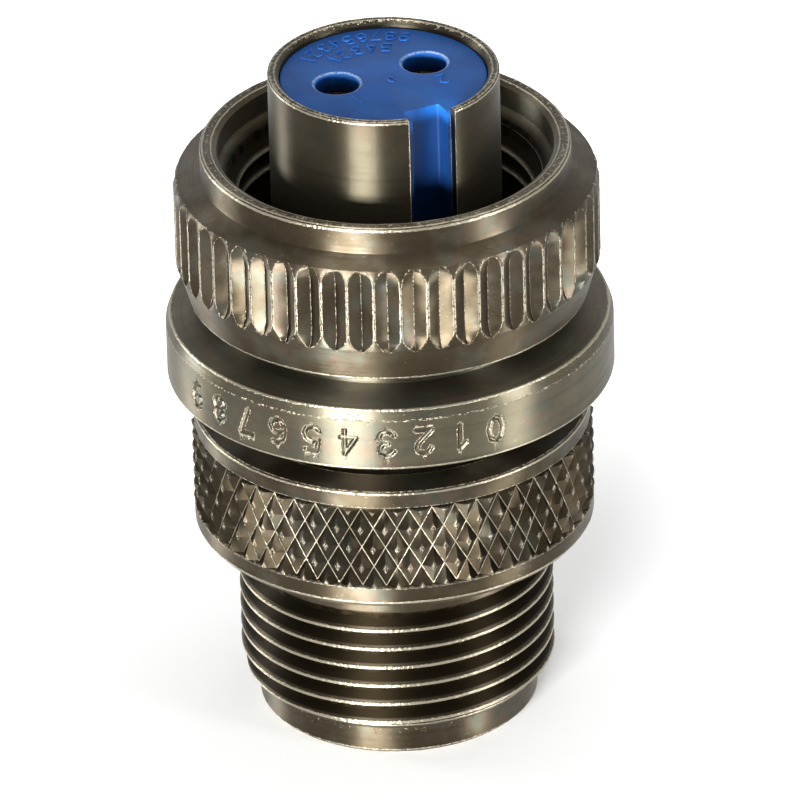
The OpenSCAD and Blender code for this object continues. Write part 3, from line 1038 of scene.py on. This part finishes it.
@dataclass
class CouplingNut:
    """Fluted coupling nut with a plain lip and an internal thread. Sizes in millimetres."""

    low: float = 23.1
    high: float = 31.1
    foot_r: float = 10.02
    band_r: float = 10.52
    nut_r: float = 10.6
    flute_low: float = 24.9
    flute_end: float = 29.44
    foot_rise: float = 0.1
    run_in: float = 0.8
    run_out: float = 0.85
    shoulder_low: float = 28.98
    shoulder_fall: float = 0.4
    shoulder_r: float = 10.45
    lip_r: float = 9.23
    lip_low: float = 29.7
    mouth_r: float = 8.68
    counterbore_r: float = 8.38
    web_r: float = 6.69
    web_top: float = 24.5
    flutes: int = 50
    flute_half: float = 0.6
    flute_depth: float = 0.37
    thread_r: float = 7.93
    crest_r: float = 7.39
    burr: float = 0.075

    def lower_outline(self) -> Profile:
        """Outline from the web's bore along the foot to the start of the flutes.

        Returns:
            The open outline.
        """
        line = Profile().to(self.web_r, self.low).to(8.5, self.low)
        line.edge(9.93, self.low, (9.4, self.low), (self.foot_r, 23.2), 0.05, 0.05, 0.6)
        line.edge(self.foot_r, 23.2, (9.93, self.low), (10.1, 23.5), 0.05, 0.06, 0.8)
        return line.to(10.2, 23.85).to(10.36, 24.4).to(10.49, 24.82)

    def upper_outline(self) -> Profile:
        """Outline from the shoulder over the lip and down through the thread's bore.

        Returns:
            The open outline.
        """
        line = Profile().to(10.3, 29.43).to(9.7, 29.6).to(9.36, self.lip_low - 0.01)
        line.to(9.26, self.lip_low + 0.04).rise(self.lip_r, self.lip_low + 0.13, 30.3)
        line.edge(self.lip_r, 30.99, (self.lip_r, 30.5), (9.12, self.high), 0.06, 0.08)
        line.edge(9.12, self.high, (9.2, 31.02), (8.9, self.high), 0.05, 0.05, 0.85)
        line.to(9.02, self.high, 0.4).to(8.8, self.high, 0.4)
        line.edge(self.mouth_r, self.high, (8.75, self.high), (8.4, 30.96), 0.04, 0.06, 0.9)
        line.rise(self.counterbore_r, 30.93, 30.3)
        line.edge(self.counterbore_r, 29.82, (self.counterbore_r, 30.2), (8.0, self.flute_end), 0.04, 0.05, 0.3)
        # The thread's bore inside the nut takes negative wear: painted shade in the darker brown.
        line.to(8.0, self.flute_end, -1.0).rise(self.thread_r, 29.37, 28.0, 26.3, wear=ROOT_SHADE)
        line.rise(7.97, 26.2, self.web_top, wear=ROOT_SHADE)
        return line.to(7.3, self.web_top).to(self.web_r, self.web_top)

    def flute_row(self, half: float, z: float) -> Row:
        """One level row of eleven points across a flute, from land to land.

        Args:
            half: Half the sector's width.
            z: Height.

        Returns:
            The points with their wear.
        """
        if z <= self.flute_low + self.foot_rise:
            base = self.band_r + (self.nut_r - self.band_r) * (z - self.flute_low) / self.foot_rise
        elif z <= self.shoulder_low:
            base = self.nut_r
        else:
            base = self.nut_r + (self.shoulder_r - self.nut_r) * ((z - self.shoulder_low) / self.shoulder_fall) ** 1.6
        low_run = min(1.0, max(0.02, (z - self.flute_low) / self.run_in))
        high_run = min(1.0, max(0.02, (self.flute_end - z) / self.run_out))
        run = min(low_run, high_run)
        wide = self.flute_half * min(math.sin(low_run * math.pi / 2) ** 0.8, math.sqrt(1 - (1 - high_run) ** 2))
        deep = self.flute_depth * math.sqrt(run)
        floor = self.nut_r - deep if z <= self.shoulder_low else min(base, self.nut_r - deep)
        worn = min(1.0, max(0.0, 2.2 * run - 1.2))
        side = [(half, base, 0.1 + 0.45 * worn), (0.5 * (half + wide), base, 0.1 + 0.55 * worn),
                (wide, base - 0.01, 0.55 + 0.3 * worn),
                (wide - min(0.05, 0.3 * wide), base - 0.08 * deep, 0.0), (wide * 0.1, floor + 0.08 * deep, -0.1)]
        left, right = [(-u, r, z, w) for u, r, w in side], [(u, r, z, w) for u, r, w in reversed(side)]
        # The flute's floor gets a bright value: a painted highlight line along the middle of each flute.
        return [*left, (0.0, floor, z, 0.62), *right]

    def build(self, shop: Workshop) -> Thing:
        """Build the nut from one sector and its internal thread.

        Args:
            shop: The workshop with the shared geometry trees.

        Returns:
            The nut's object.
        """
        half = math.pi * self.nut_r / self.flutes
        rows = [plain_row(half, *p) for p in self.lower_outline().points]
        # Heights of the rows: close together where a flute starts and ends.
        rows += [self.flute_row(half, z) for z in (
            24.9, 24.95, 25.02, 25.1, 25.2, 25.32, 25.46, 25.62, 25.75, 26.1, 26.5, 26.9, 27.3, 27.7,
            28.1, 28.46, 28.6, 28.73, 28.85, 28.95, 29.04, 29.12, 29.19, 29.25, 29.3, 29.35, 29.4)]
        rows += [plain_row(half, *p) for p in self.upper_outline().points]
        base = shop.roll("nut_shell", [[*rows, rows[0]]], self.flutes, self.nut_r, self.burr)
        return shop.wind(base, self.thread_r, self.crest_r, start=26.3, turns=2.75, steps=144, fade=0.5, phase=2.2,
                         crest_width=0.12, base_width=1.0)


@dataclass
class PlugBarrel:
    """Plug barrel: neck thread, marking flange, hub and keyed mating tube. Sizes in millimetres."""

    barrel_r: float = 5.75
    bore_r: float = 5.2
    top: float = 35.13
    key_half: float = 1.24
    key_low: float = 27.53
    key_lip: float = 0.035
    near_key_deg: float = 24.0
    key_worn_deg: float = 12.5
    flange_r: float = 11.2
    flange_low: float = 18.68
    flange_high: float = 21.97
    hub_r: float = 8.2375
    step_r: float = 7.1875
    neck_root_r: float = 7.3
    neck_r: float = 7.93
    neck_bore_r: float = 6.4
    stamp_low: float = 19.0
    stamp_high: float = 21.3
    column_step_deg: float = 1.5
    column_gap_deg: float = 0.55
    stamps: StampedRow = StampedRow()

    def outline(self) -> tuple[list[Point], int, int]:
        """The closed outline, and the numbers of the points where the keyway starts outside and inside.

        Returns:
            The outline's points and the two numbers.
        """
        key_heights = (27.6, 27.7, 28.6, 29.6, 30.6, 31.6, 32.6, 33.6, 34.4)
        line = Profile().to(self.neck_bore_r, 10.0).to(7.0, 10.0)
        # The neck thread's roots carry negative wear: painted shade in the darker brown.
        line.rise(self.neck_root_r, 10.25, 16.2, wear=ROOT_SHADE).rise(self.step_r, 16.5, 17.6, 18.6)
        line.to(7.25, self.flange_low).to(9.0, self.flange_low)
        line.edge(11.1, self.flange_low, (10.6, self.flange_low), (self.flange_r, 18.78), 0.04, 0.05, 0.7)
        line.edge(self.flange_r, 18.78, (11.1, self.flange_low), (self.flange_r, 19.0), 0.04, 0.05)
        line.rise(self.flange_r, *self.stamps.levels(), 21.2)
        line.edge(self.flange_r, 21.43, (self.flange_r, 21.25), (10.99, self.flange_high), 0.05, 0.06, 0.45)
        line.to(11.1, 21.69, 0.25)
        line.edge(10.99, self.flange_high, (self.flange_r, 21.43), (10.5, self.flange_high), 0.05, 0.1)
        line.to(10.2, self.flange_high).to(9.3, self.flange_high).to(8.5, self.flange_high)
        line.to(8.3, 22.0).rise(self.hub_r, 22.08, 22.5, 22.95).to(8.19, 23.0)
        line.to(7.4, 23.0).rise(6.64, 23.0, 24.6).rise(6.0, 24.6, 25.45).rise(6.4, 25.45, 26.1)
        line.rise(self.barrel_r, 26.4, 27.0, self.key_low - 0.1)
        outer = len(line.points)
        line.rise(self.barrel_r, self.key_low, *key_heights)
        line.edge(self.barrel_r, self.top - 0.06, (self.barrel_r, 34.8), (5.69, self.top), 0.05, 0.09)
        for r, wear in ((5.66, 0.9), (5.62, 0.55), (5.5, 0.3), (5.44, 0.6), (5.4, 0.9)):
            line.to(r, self.top, wear)
        line.to(5.36, 35.09, 0.5).to(self.bore_r, 34.93, 0.1).rise(self.bore_r, *reversed(key_heights))
        inner = len(line.points)
        line.rise(self.bore_r, self.key_low, 24.0, 20.47).rise(self.neck_bore_r, 20.47, 13.0, 12.9)
        line.rise(6.9, 12.9, 12.0).rise(self.neck_bore_r, 12.0, 11.0)
        return line.points, outer, inner

    def key_angle(self, x: float) -> float:
        """Angle in degrees of a place on the barrel's outside that lies a distance beside the keyway's middle."""
        return math.degrees(math.asin(x / self.barrel_r))

    def columns(self) -> list[float]:
        """Angles of all columns in degrees from the keyway, from -180 up to 180.

        Returns:
            The angles in rising order, without close doubles.
        """
        edge = [self.key_angle(x) for x in (
            0.45, 0.85, self.key_half, self.key_half + self.key_lip, self.key_half + 0.09, 1.42, 1.6)]
        close = sorted({0.0, *edge, *(-e for e in edge), *self.stamps.columns()})
        half_turn = round(180 / self.column_step_deg)
        plain = [k * self.column_step_deg for k in range(-half_turn, half_turn)]
        kept = []
        for angle in sorted({*close, *(a for a in plain if min(abs(a - m) for m in close) > self.column_gap_deg)}):
            if not kept or angle - kept[-1] >= 0.05 or any(abs(abs(angle) - e) < 1e-9 for e in edge):
                kept.append(angle)
        return kept

    def column_angle(self, angle: float, r: float, z: float) -> float:
        """Angle of a column at a radius: near the keyway columns keep their distance from its middle.

        Args:
            angle: The column's angle at the barrel's outside, in degrees.
            r: Radius.
            z: Height.

        Returns:
            The angle in radians.
        """
        plain = math.radians(angle)
        if r > self.barrel_r + 0.1 or z < 26.0 or abs(angle) > self.near_key_deg:
            return plain
        x = self.barrel_r * math.sin(plain)
        hold = min(1.0, max(0.0, (2.3 - abs(x)) / 0.7))
        return plain * (1 - hold) + math.asin(x / r) * hold

    def key_wear(self, angle: float, z: float) -> float:
        """Wear along the keyway's edges.

        Args:
            angle: Angle from the keyway in degrees.
            z: Height.

        Returns:
            The wear.
        """
        x = abs(self.barrel_r * math.sin(math.radians(angle)))
        if abs(angle) > self.near_key_deg or z < self.key_low - 0.01 or z > self.top + 1:
            return 0.0
        if abs(x - self.key_half) < 0.01:
            return 1.0
        return 0.55 if abs(x - self.key_half - self.key_lip) < 0.01 else 0.0

    def build(self, shop: Workshop) -> Thing:
        """Build the barrel round its axis, with its keyway, its stamped numerals and its neck thread.

        Args:
            shop: The workshop with the shared geometry trees.

        Returns:
            The barrel's object.
        """
        outline, outer, inner = self.outline()
        angles, rows = self.columns(), len(outline)
        points, wear, faces = [], [], []
        for angle in angles:
            for k, (r, z, w) in enumerate(outline):
                push, burr = 0.0, 0.0
                if r == self.flange_r and self.stamp_low < z < self.stamp_high:
                    push, burr = self.stamps.press(angle, z)
                turn = self.column_angle(angle, r, z) - math.pi / 2
                points.append(((r + push) * MM * math.cos(turn), (r + push) * MM * math.sin(turn), z * MM))
                edge = self.key_wear(angle, z) if outer <= k <= inner else 0.0
                if k in (outer, inner) and abs(angle) < self.key_worn_deg:
                    edge = 1.0
                wear.append(max(w, burr, edge))
        left, right = (angles.index(side * self.key_angle(self.key_half)) for side in (-1, 1))
        for c in range(len(angles)):
            here, there = c * rows, (c + 1) % len(angles) * rows
            faces += [(here + k, there + k, there + (k + 1) % rows, here + (k + 1) % rows) for k in range(rows)
                      if not (left <= c < right and outer <= k < inner)]

        def between(first: int, second: int, share: float) -> int:
            """Add a point without wear between two others and return its number.

            Args:
                first: Number of one point.
                second: Number of the other.
                share: How far along the new one lies.

            Returns:
                The number of the new point.
            """
            points.append(tuple(Vector(points[first]).lerp(Vector(points[second]), share)))
            wear.append(0.0)
            return len(points) - 1

        # The keyway's two side walls, each with an inner strip without wear, and its floor.
        for column, flip in ((left, False), (right, True)):
            last, end = None, None
            for step in range((inner - outer) // 2 + 1):
                a, b = column * rows + outer + step, column * rows + inner - step
                if a >= b:
                    break
                strip = [a, between(a, b, 0.12), between(a, b, 0.88), b]
                for i in range(3 if last else 0):
                    face = (last[i], strip[i], strip[i + 1], last[i + 1])
                    faces.append(face[::-1] if flip else face)
                last, end = strip, (a, b)
            closing = {1: (last[0], last[3], last[2], last[1]),
                       2: (last[0], end[0] + 1, last[3], last[2], last[1])}
            faces += [closing[end[1] - end[0]]] if end[1] - end[0] in closing else []
        for c in range(left, right):
            here, there = c * rows, (c + 1) * rows
            faces.append((here + outer, there + outer, there + inner, here + inner))
        base = new_object("barrel_shell", mesh_from("barrel_shell", points, faces, wear))
        return shop.wind(base, self.neck_root_r, self.neck_r, start=10.6, turns=5.1, steps=96, fade=0.6, phase=1.0)


@dataclass
class FrontInsert:
    """Blue insulator with two contact holes, the key channel and raised plain numerals. Sizes in millimetres."""

    r: float = 5.15
    low: float = 17.48
    shoulder: float = 20.42
    flange_r: float = 6.35
    face: float = 34.8
    edge: float = 0.125
    hole_r: float = 1.085
    hole_chamfer: float = 0.14
    hole_x: float = 2.39
    hole_y: float = 0.3
    cavity_r: float = 1.4
    cavity_high: float = 33.8
    collar_r: float = 1.8
    channel_low_x: float = -0.83
    channel_high_x: float = 1.1
    channel_back: float = -4.0
    channel_front: float = -7.0
    channel_low: float = 27.53
    channel_round: float = 0.12
    softened: float = 0.045
    stroke_r: float = 0.075

    def cut(self, base: Thing, cutter: Thing) -> None:
        """Cut one object out of another and remove the cutter.

        Args:
            base: Object that is cut.
            cutter: Object that cuts it.
        """
        tidy_mesh(cutter.data, CUT_SHARP_DEG)
        modifier = base.modifiers.new("cut", "BOOLEAN")
        modifier.operation, modifier.solver, modifier.object = "DIFFERENCE", "EXACT", cutter
        settle(base, modifier)
        bpy.data.objects.remove(cutter)

    def hole(self, x: float) -> Thing:
        """The cutter of one contact's cavity and its chamfered hole in the face.

        Args:
            x: Place of the contact beside the axis.

        Returns:
            The cutter's object.
        """
        line = Profile().to(0.0, self.low - 1).rise(self.collar_r, self.low - 1, self.low + 1.1)
        line.rise(self.cavity_r, self.low + 1.1, self.cavity_high)
        line.rise(self.hole_r, self.cavity_high, self.face - self.hole_chamfer)
        line.to(self.hole_r + 0.05, self.face - 0.06)
        line.rise(self.hole_r + self.hole_chamfer, self.face, self.face + 1).to(0.0, self.face + 1)
        mesh = turned("hole", line, 72)
        for vertex in mesh.vertices:
            vertex.co.x += x * MM
            vertex.co.y += self.hole_y * MM
        tidy_mesh(mesh, CUT_SHARP_DEG)
        return new_object("hole", mesh)

    def channel(self) -> Thing:
        """The cutter of the key channel, rounded at its two inner corners.

        Returns:
            The cutter's object.
        """
        box = bmesh.new()
        bmesh.ops.create_cube(box, size=1.0)
        low = Vector((self.channel_low_x, self.channel_front, self.channel_low)) * MM
        high = Vector((self.channel_high_x, self.channel_back, self.face + 1)) * MM
        for vertex in box.verts:
            vertex.co = Vector((low[i] if vertex.co[i] < 0 else high[i]) for i in range(3))
        inner = [edge for edge in box.edges if all(v.co.y > -5 * MM for v in edge.verts)
                 and abs(edge.verts[0].co.z - edge.verts[1].co.z) > MM]
        bmesh.ops.bevel(box, geom=inner, offset=self.channel_round * MM, segments=3, affect="EDGES", profile=0.5)
        mesh = bpy.data.meshes.new("channel")
        box.to_mesh(mesh)
        box.free()
        return new_object("channel", mesh)

    def numeral(self, text: str, x: float, y: float, height: float, turn: float) -> Mesh:
        """A raised numeral on the face, made from a rounded bar along its strokes.

        Args:
            text: One numeral.
            x: Place of its middle.
            y: Place of its middle.
            height: Height of the numeral.
            turn: How far it is turned, in radians.

        Returns:
            A closed mesh.
        """
        curve = bpy.data.curves.new("numeral", "CURVE")
        curve.dimensions = "3D"
        curve.bevel_depth, curve.bevel_resolution, curve.use_fill_caps = self.stroke_r * MM, 2, True
        strokes = NUMERALS[text]
        closed = strokes[0] == strokes[-1]
        kept = strokes[:-1] if closed else strokes
        spline = curve.splines.new("POLY")
        spline.points.add(len(kept) - 1)
        spline.use_cyclic_u = closed
        for point, (u, v) in zip(spline.points, kept):
            a, b = (u - 0.3) * height, (v - 0.5) * height
            point.co = ((x + a * math.cos(turn) - b * math.sin(turn)) * MM,
                        (y + a * math.sin(turn) + b * math.cos(turn)) * MM, (self.face - 0.01) * MM, 1.0)
        thing = new_object("numeral", curve)
        mesh = plain_mesh(thing)
        bpy.data.objects.remove(thing)
        return mesh

    def build(self) -> Thing:
        """Build the insert, cut its holes and channel, and raise its numerals.

        Returns:
            The insert's object.
        """
        line = Profile().to(0.0, self.low).rise(self.flange_r, self.low, self.shoulder)
        line.rise(self.r, self.shoulder, 27.0, self.face - self.edge)
        line.to(self.r - 0.035, self.face - 0.04).to(self.r - self.edge, self.face).to(0.0, self.face)
        mesh = turned("blue_insulator", line, 192)
        tidy_mesh(mesh, CUT_SHARP_DEG)
        base = new_object("blue_insulator", mesh)
        for cutter in (self.hole(-self.hole_x), self.hole(self.hole_x), self.channel()):
            self.cut(base, cutter)
        bevel = base.modifiers.new("soft", "BEVEL")
        bevel.width, bevel.segments, bevel.limit_method = self.softened * MM, 2, "ANGLE"
        bevel.angle_limit = math.radians(50)
        settle(base, bevel)
        half_turn = math.radians(180)
        marks = [("1", -2.3, -1.75, 0.85, half_turn), ("2", 2.45, -1.75, 0.85, half_turn),
                 ("0", 0.15, -0.6, 0.5, half_turn)]
        # Two arcs of numerals: their text, first angle, step and radius.
        for text, first, step, ring in (("987654321", 50.0, 9.8, 4.2), ("54321", 62.0, 14.0, 3.0)):
            for number, numeral in enumerate(text):
                angle = math.radians(first + step * number)
                marks.append((numeral, ring * math.cos(angle), ring * math.sin(angle), 0.78,
                              math.radians(math.degrees(angle) + 90)))
        work = bmesh.new()
        work.from_mesh(base.data)
        for mark in marks:
            work.from_mesh(self.numeral(*mark))
        work.to_mesh(base.data)
        work.free()
        return base


@dataclass
class InnerParts:
    """The CAD nodes that stay as they are and get a finish."""

    finishes: dict[str, bpy.types.Material]

    def dress(self) -> None:
        """Give every kept node its material."""
        for node, finish in self.finishes.items():
            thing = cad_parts[node]
            for slot in thing.material_slots:
                slot.material = finish
            if not thing.material_slots:
                thing.data.materials.append(finish)
            LOG.info("%s: CAD node, %s", node, finish.name)


# ---- Studio ----


@dataclass(frozen=True)
class SoftBox:
    """A soft lamp: its side from the camera's and its height in degrees, sizes in millimetres, and watts."""

    name: str
    side: float
    lift: float
    distance: float
    width: float
    height: float
    power: float


@dataclass
class Studio:
    """Pale floor, soft lamps and the camera. Lengths in millimetres, angles in degrees."""

    azimuth: float = -24.7
    elevation: float = 29.009
    distance: float = 624.31
    lens: float = 560.2
    target_z: float = 16.424
    shift_right: float = 0.403
    roll: float = -1.499
    lamp_target_z: float = 18.0
    lamp_colour: Point = (0.97, 0.985, 1.0)
    near_glow: float = 0.16
    gloss_glow: float = 0.5
    floor_half: float = 4000.0
    floor_drop: float = 0.02
    world_glow: float = 0.3
    lamps: tuple[SoftBox, ...] = (
        SoftBox("key", -21, 5, 420, 165, 80, 6.6), SoftBox("left", -112, 5, 420, 110, 72, 1.2),
        SoftBox("right", 62, 4, 420, 110, 72, 1.7), SoftBox("top", 150, 75, 450, 260, 260, 0.5))

    def floor(self) -> None:
        """Lay a pale floor that keeps a soft shadow and is white to the camera and in reflections."""
        size = self.floor_half * MM
        mesh = bpy.data.meshes.new("floor")
        mesh.from_pydata([(-size, -size, 0), (size, -size, 0), (size, size, 0), (-size, size, 0)], [], [(0, 1, 2, 3)])
        mesh.transform(Matrix.Translation((0, 0, -self.floor_drop * MM)))
        plane = new_object("floor", mesh)
        material, graph, shader = start_material("pale_floor")
        graph.feed(shader, {"Base Color": linear("#f2f2f0"), "Roughness": 0.9, "Specular IOR Level": 0.0})
        path = graph.node("ShaderNodeLightPath").outputs
        away = graph.vector("LENGTH", {0: graph.value("ShaderNodeTexCoord", out="Object")}, "Value")
        # Near the plug the paper shows its shadow; farther off it is plain white.
        to_camera = graph.spread(away, 0.014, 0.05, self.near_glow, 1.0) * path["Is Camera Ray"]
        to_gloss = graph.math("MAXIMUM", path["Is Glossy Ray"], path["Is Transmission Ray"]) * self.gloss_glow
        glow = graph.node("ShaderNodeEmission", {"Color": WHITE, "Strength": to_camera + to_gloss})
        both = graph.node("ShaderNodeAddShader", {0: shader, 1: glow})
        graph.feed(next(n for n in graph.tree.nodes if n.type == "OUTPUT_MATERIAL"), {0: both})
        plane.data.materials.append(material)

    def world(self) -> None:
        """Set a dim even world that is white to the camera and in reflections."""
        world = bpy.data.worlds.new("studio")
        bpy.context.scene.world = world
        world.use_nodes = True
        graph = Graph(world.node_tree)
        graph.tree.nodes.clear()
        path = graph.node("ShaderNodeLightPath").outputs
        seen = graph.math("MAXIMUM", path["Is Camera Ray"], graph.math(
            "MAXIMUM", path["Is Glossy Ray"], path["Is Transmission Ray"]))
        strength = graph.math("MULTIPLY_ADD", seen, 1.0 - self.world_glow, self.world_glow)
        light = graph.node("ShaderNodeBackground", {"Color": WHITE, "Strength": strength})
        graph.node("ShaderNodeOutputWorld", {0: light})

    def towards(self, azimuth: float, elevation: float) -> Vector:
        """Direction from the plug to a place at a side and a height."""
        a, e = math.radians(azimuth), math.radians(elevation)
        return Vector((math.sin(a) * math.cos(e), -math.cos(a) * math.cos(e), math.sin(e)))

    def hang(self, lamp: SoftBox) -> None:
        """Hang a lamp that points at the middle of the plug.

        Args:
            lamp: The lamp.
        """
        data = bpy.data.lights.new(lamp.name, "AREA")
        data.shape, data.size, data.size_y, data.energy = "RECTANGLE", lamp.width * MM, lamp.height * MM, lamp.power
        data.color = self.lamp_colour
        thing = new_object(lamp.name, data)
        back = self.towards(self.azimuth + lamp.side, lamp.lift)
        thing.location = Vector((0, 0, self.lamp_target_z * MM)) + back * lamp.distance * MM
        thing.rotation_euler = back.to_track_quat("Z", "Y").to_euler()
        thing.visible_camera = False

    def camera(self) -> None:
        """Set the camera."""
        back = self.towards(self.azimuth, self.elevation)
        a, roll = math.radians(self.azimuth), math.radians(self.roll)
        level = Vector((math.cos(a), math.sin(a), 0.0))
        right = level * math.cos(roll) + back.cross(level) * math.sin(roll)
        up = back.cross(right)
        place = Vector((0, 0, self.target_z * MM)) + level * self.shift_right * MM + back * self.distance * MM
        data = bpy.data.cameras.new("camera")
        data.lens, data.sensor_width = self.lens, 36.0
        data.clip_start, data.clip_end = 0.01, 20.0
        thing = new_object("camera", data)
        thing.matrix_world = Matrix((*((right[i], up[i], back[i], place[i]) for i in range(3)), (0, 0, 0, 1)))
        bpy.context.scene.camera = thing

    def build(self) -> None:
        """Set up the whole studio."""
        bpy.context.scene.view_settings.view_transform = "Standard"
        self.floor()
        self.world()
        for lamp in self.lamps:
            self.hang(lamp)
        self.camera()


def main() -> None:
    """Build every sub-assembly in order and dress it."""
    logging.basicConfig(level=logging.INFO, format="%(name)s: %(message)s")
    Studio().build()
    shop = Workshop()
    # Olive conductive plating over turned aluminium, on all three shells.
    bell_finish = Plating("bell_plating").build()
    barrel_finish = Plating("barrel_plating", tone="#625d4e").build()
    nut_finish = Plating("nut_plating").build()
    # Moulded blue resilient insulator.
    insert_finish = Moulding("blue_insert_moulding").build()
    # Spring steel rings, plated copper alloy contacts and drawn stainless sleeves.
    steel = PlainMetal("spring_steel_rings", "#72716c", "#56544c", 0.3).build()
    brass = PlainMetal("plated_contact_alloy", "#7d6f4e", "#54492f", 0.3).build()
    sleeve = PlainMetal("stainless_sleeve", "#b3b3ae", "#84827b", 0.22).build()
    finished(EndBell().build(shop), Body.BELL, Slot.BELL, bell_finish, "end_bell")
    finished(PlugBarrel().build(shop), Body.SHELL, Slot.BARREL, barrel_finish, "plug_barrel")
    finished(CouplingNut().build(shop), Body.NUT, Slot.NUT, nut_finish, "coupling_nut")
    finished(FrontInsert().build(), Body.SHELL, Slot.INSERT, insert_finish, "front_insert")
    InnerParts({
        "rear_insert": insert_finish, "nut_retaining_ring": steel, "insert_washer": steel,
        "insert_retaining_ring": steel, "socket_contact_a": brass, "socket_contact_b": brass,
        "contact_sleeve_a": sleeve, "contact_sleeve_b": sleeve}).dress()


if __name__ == "__main__":
    main()
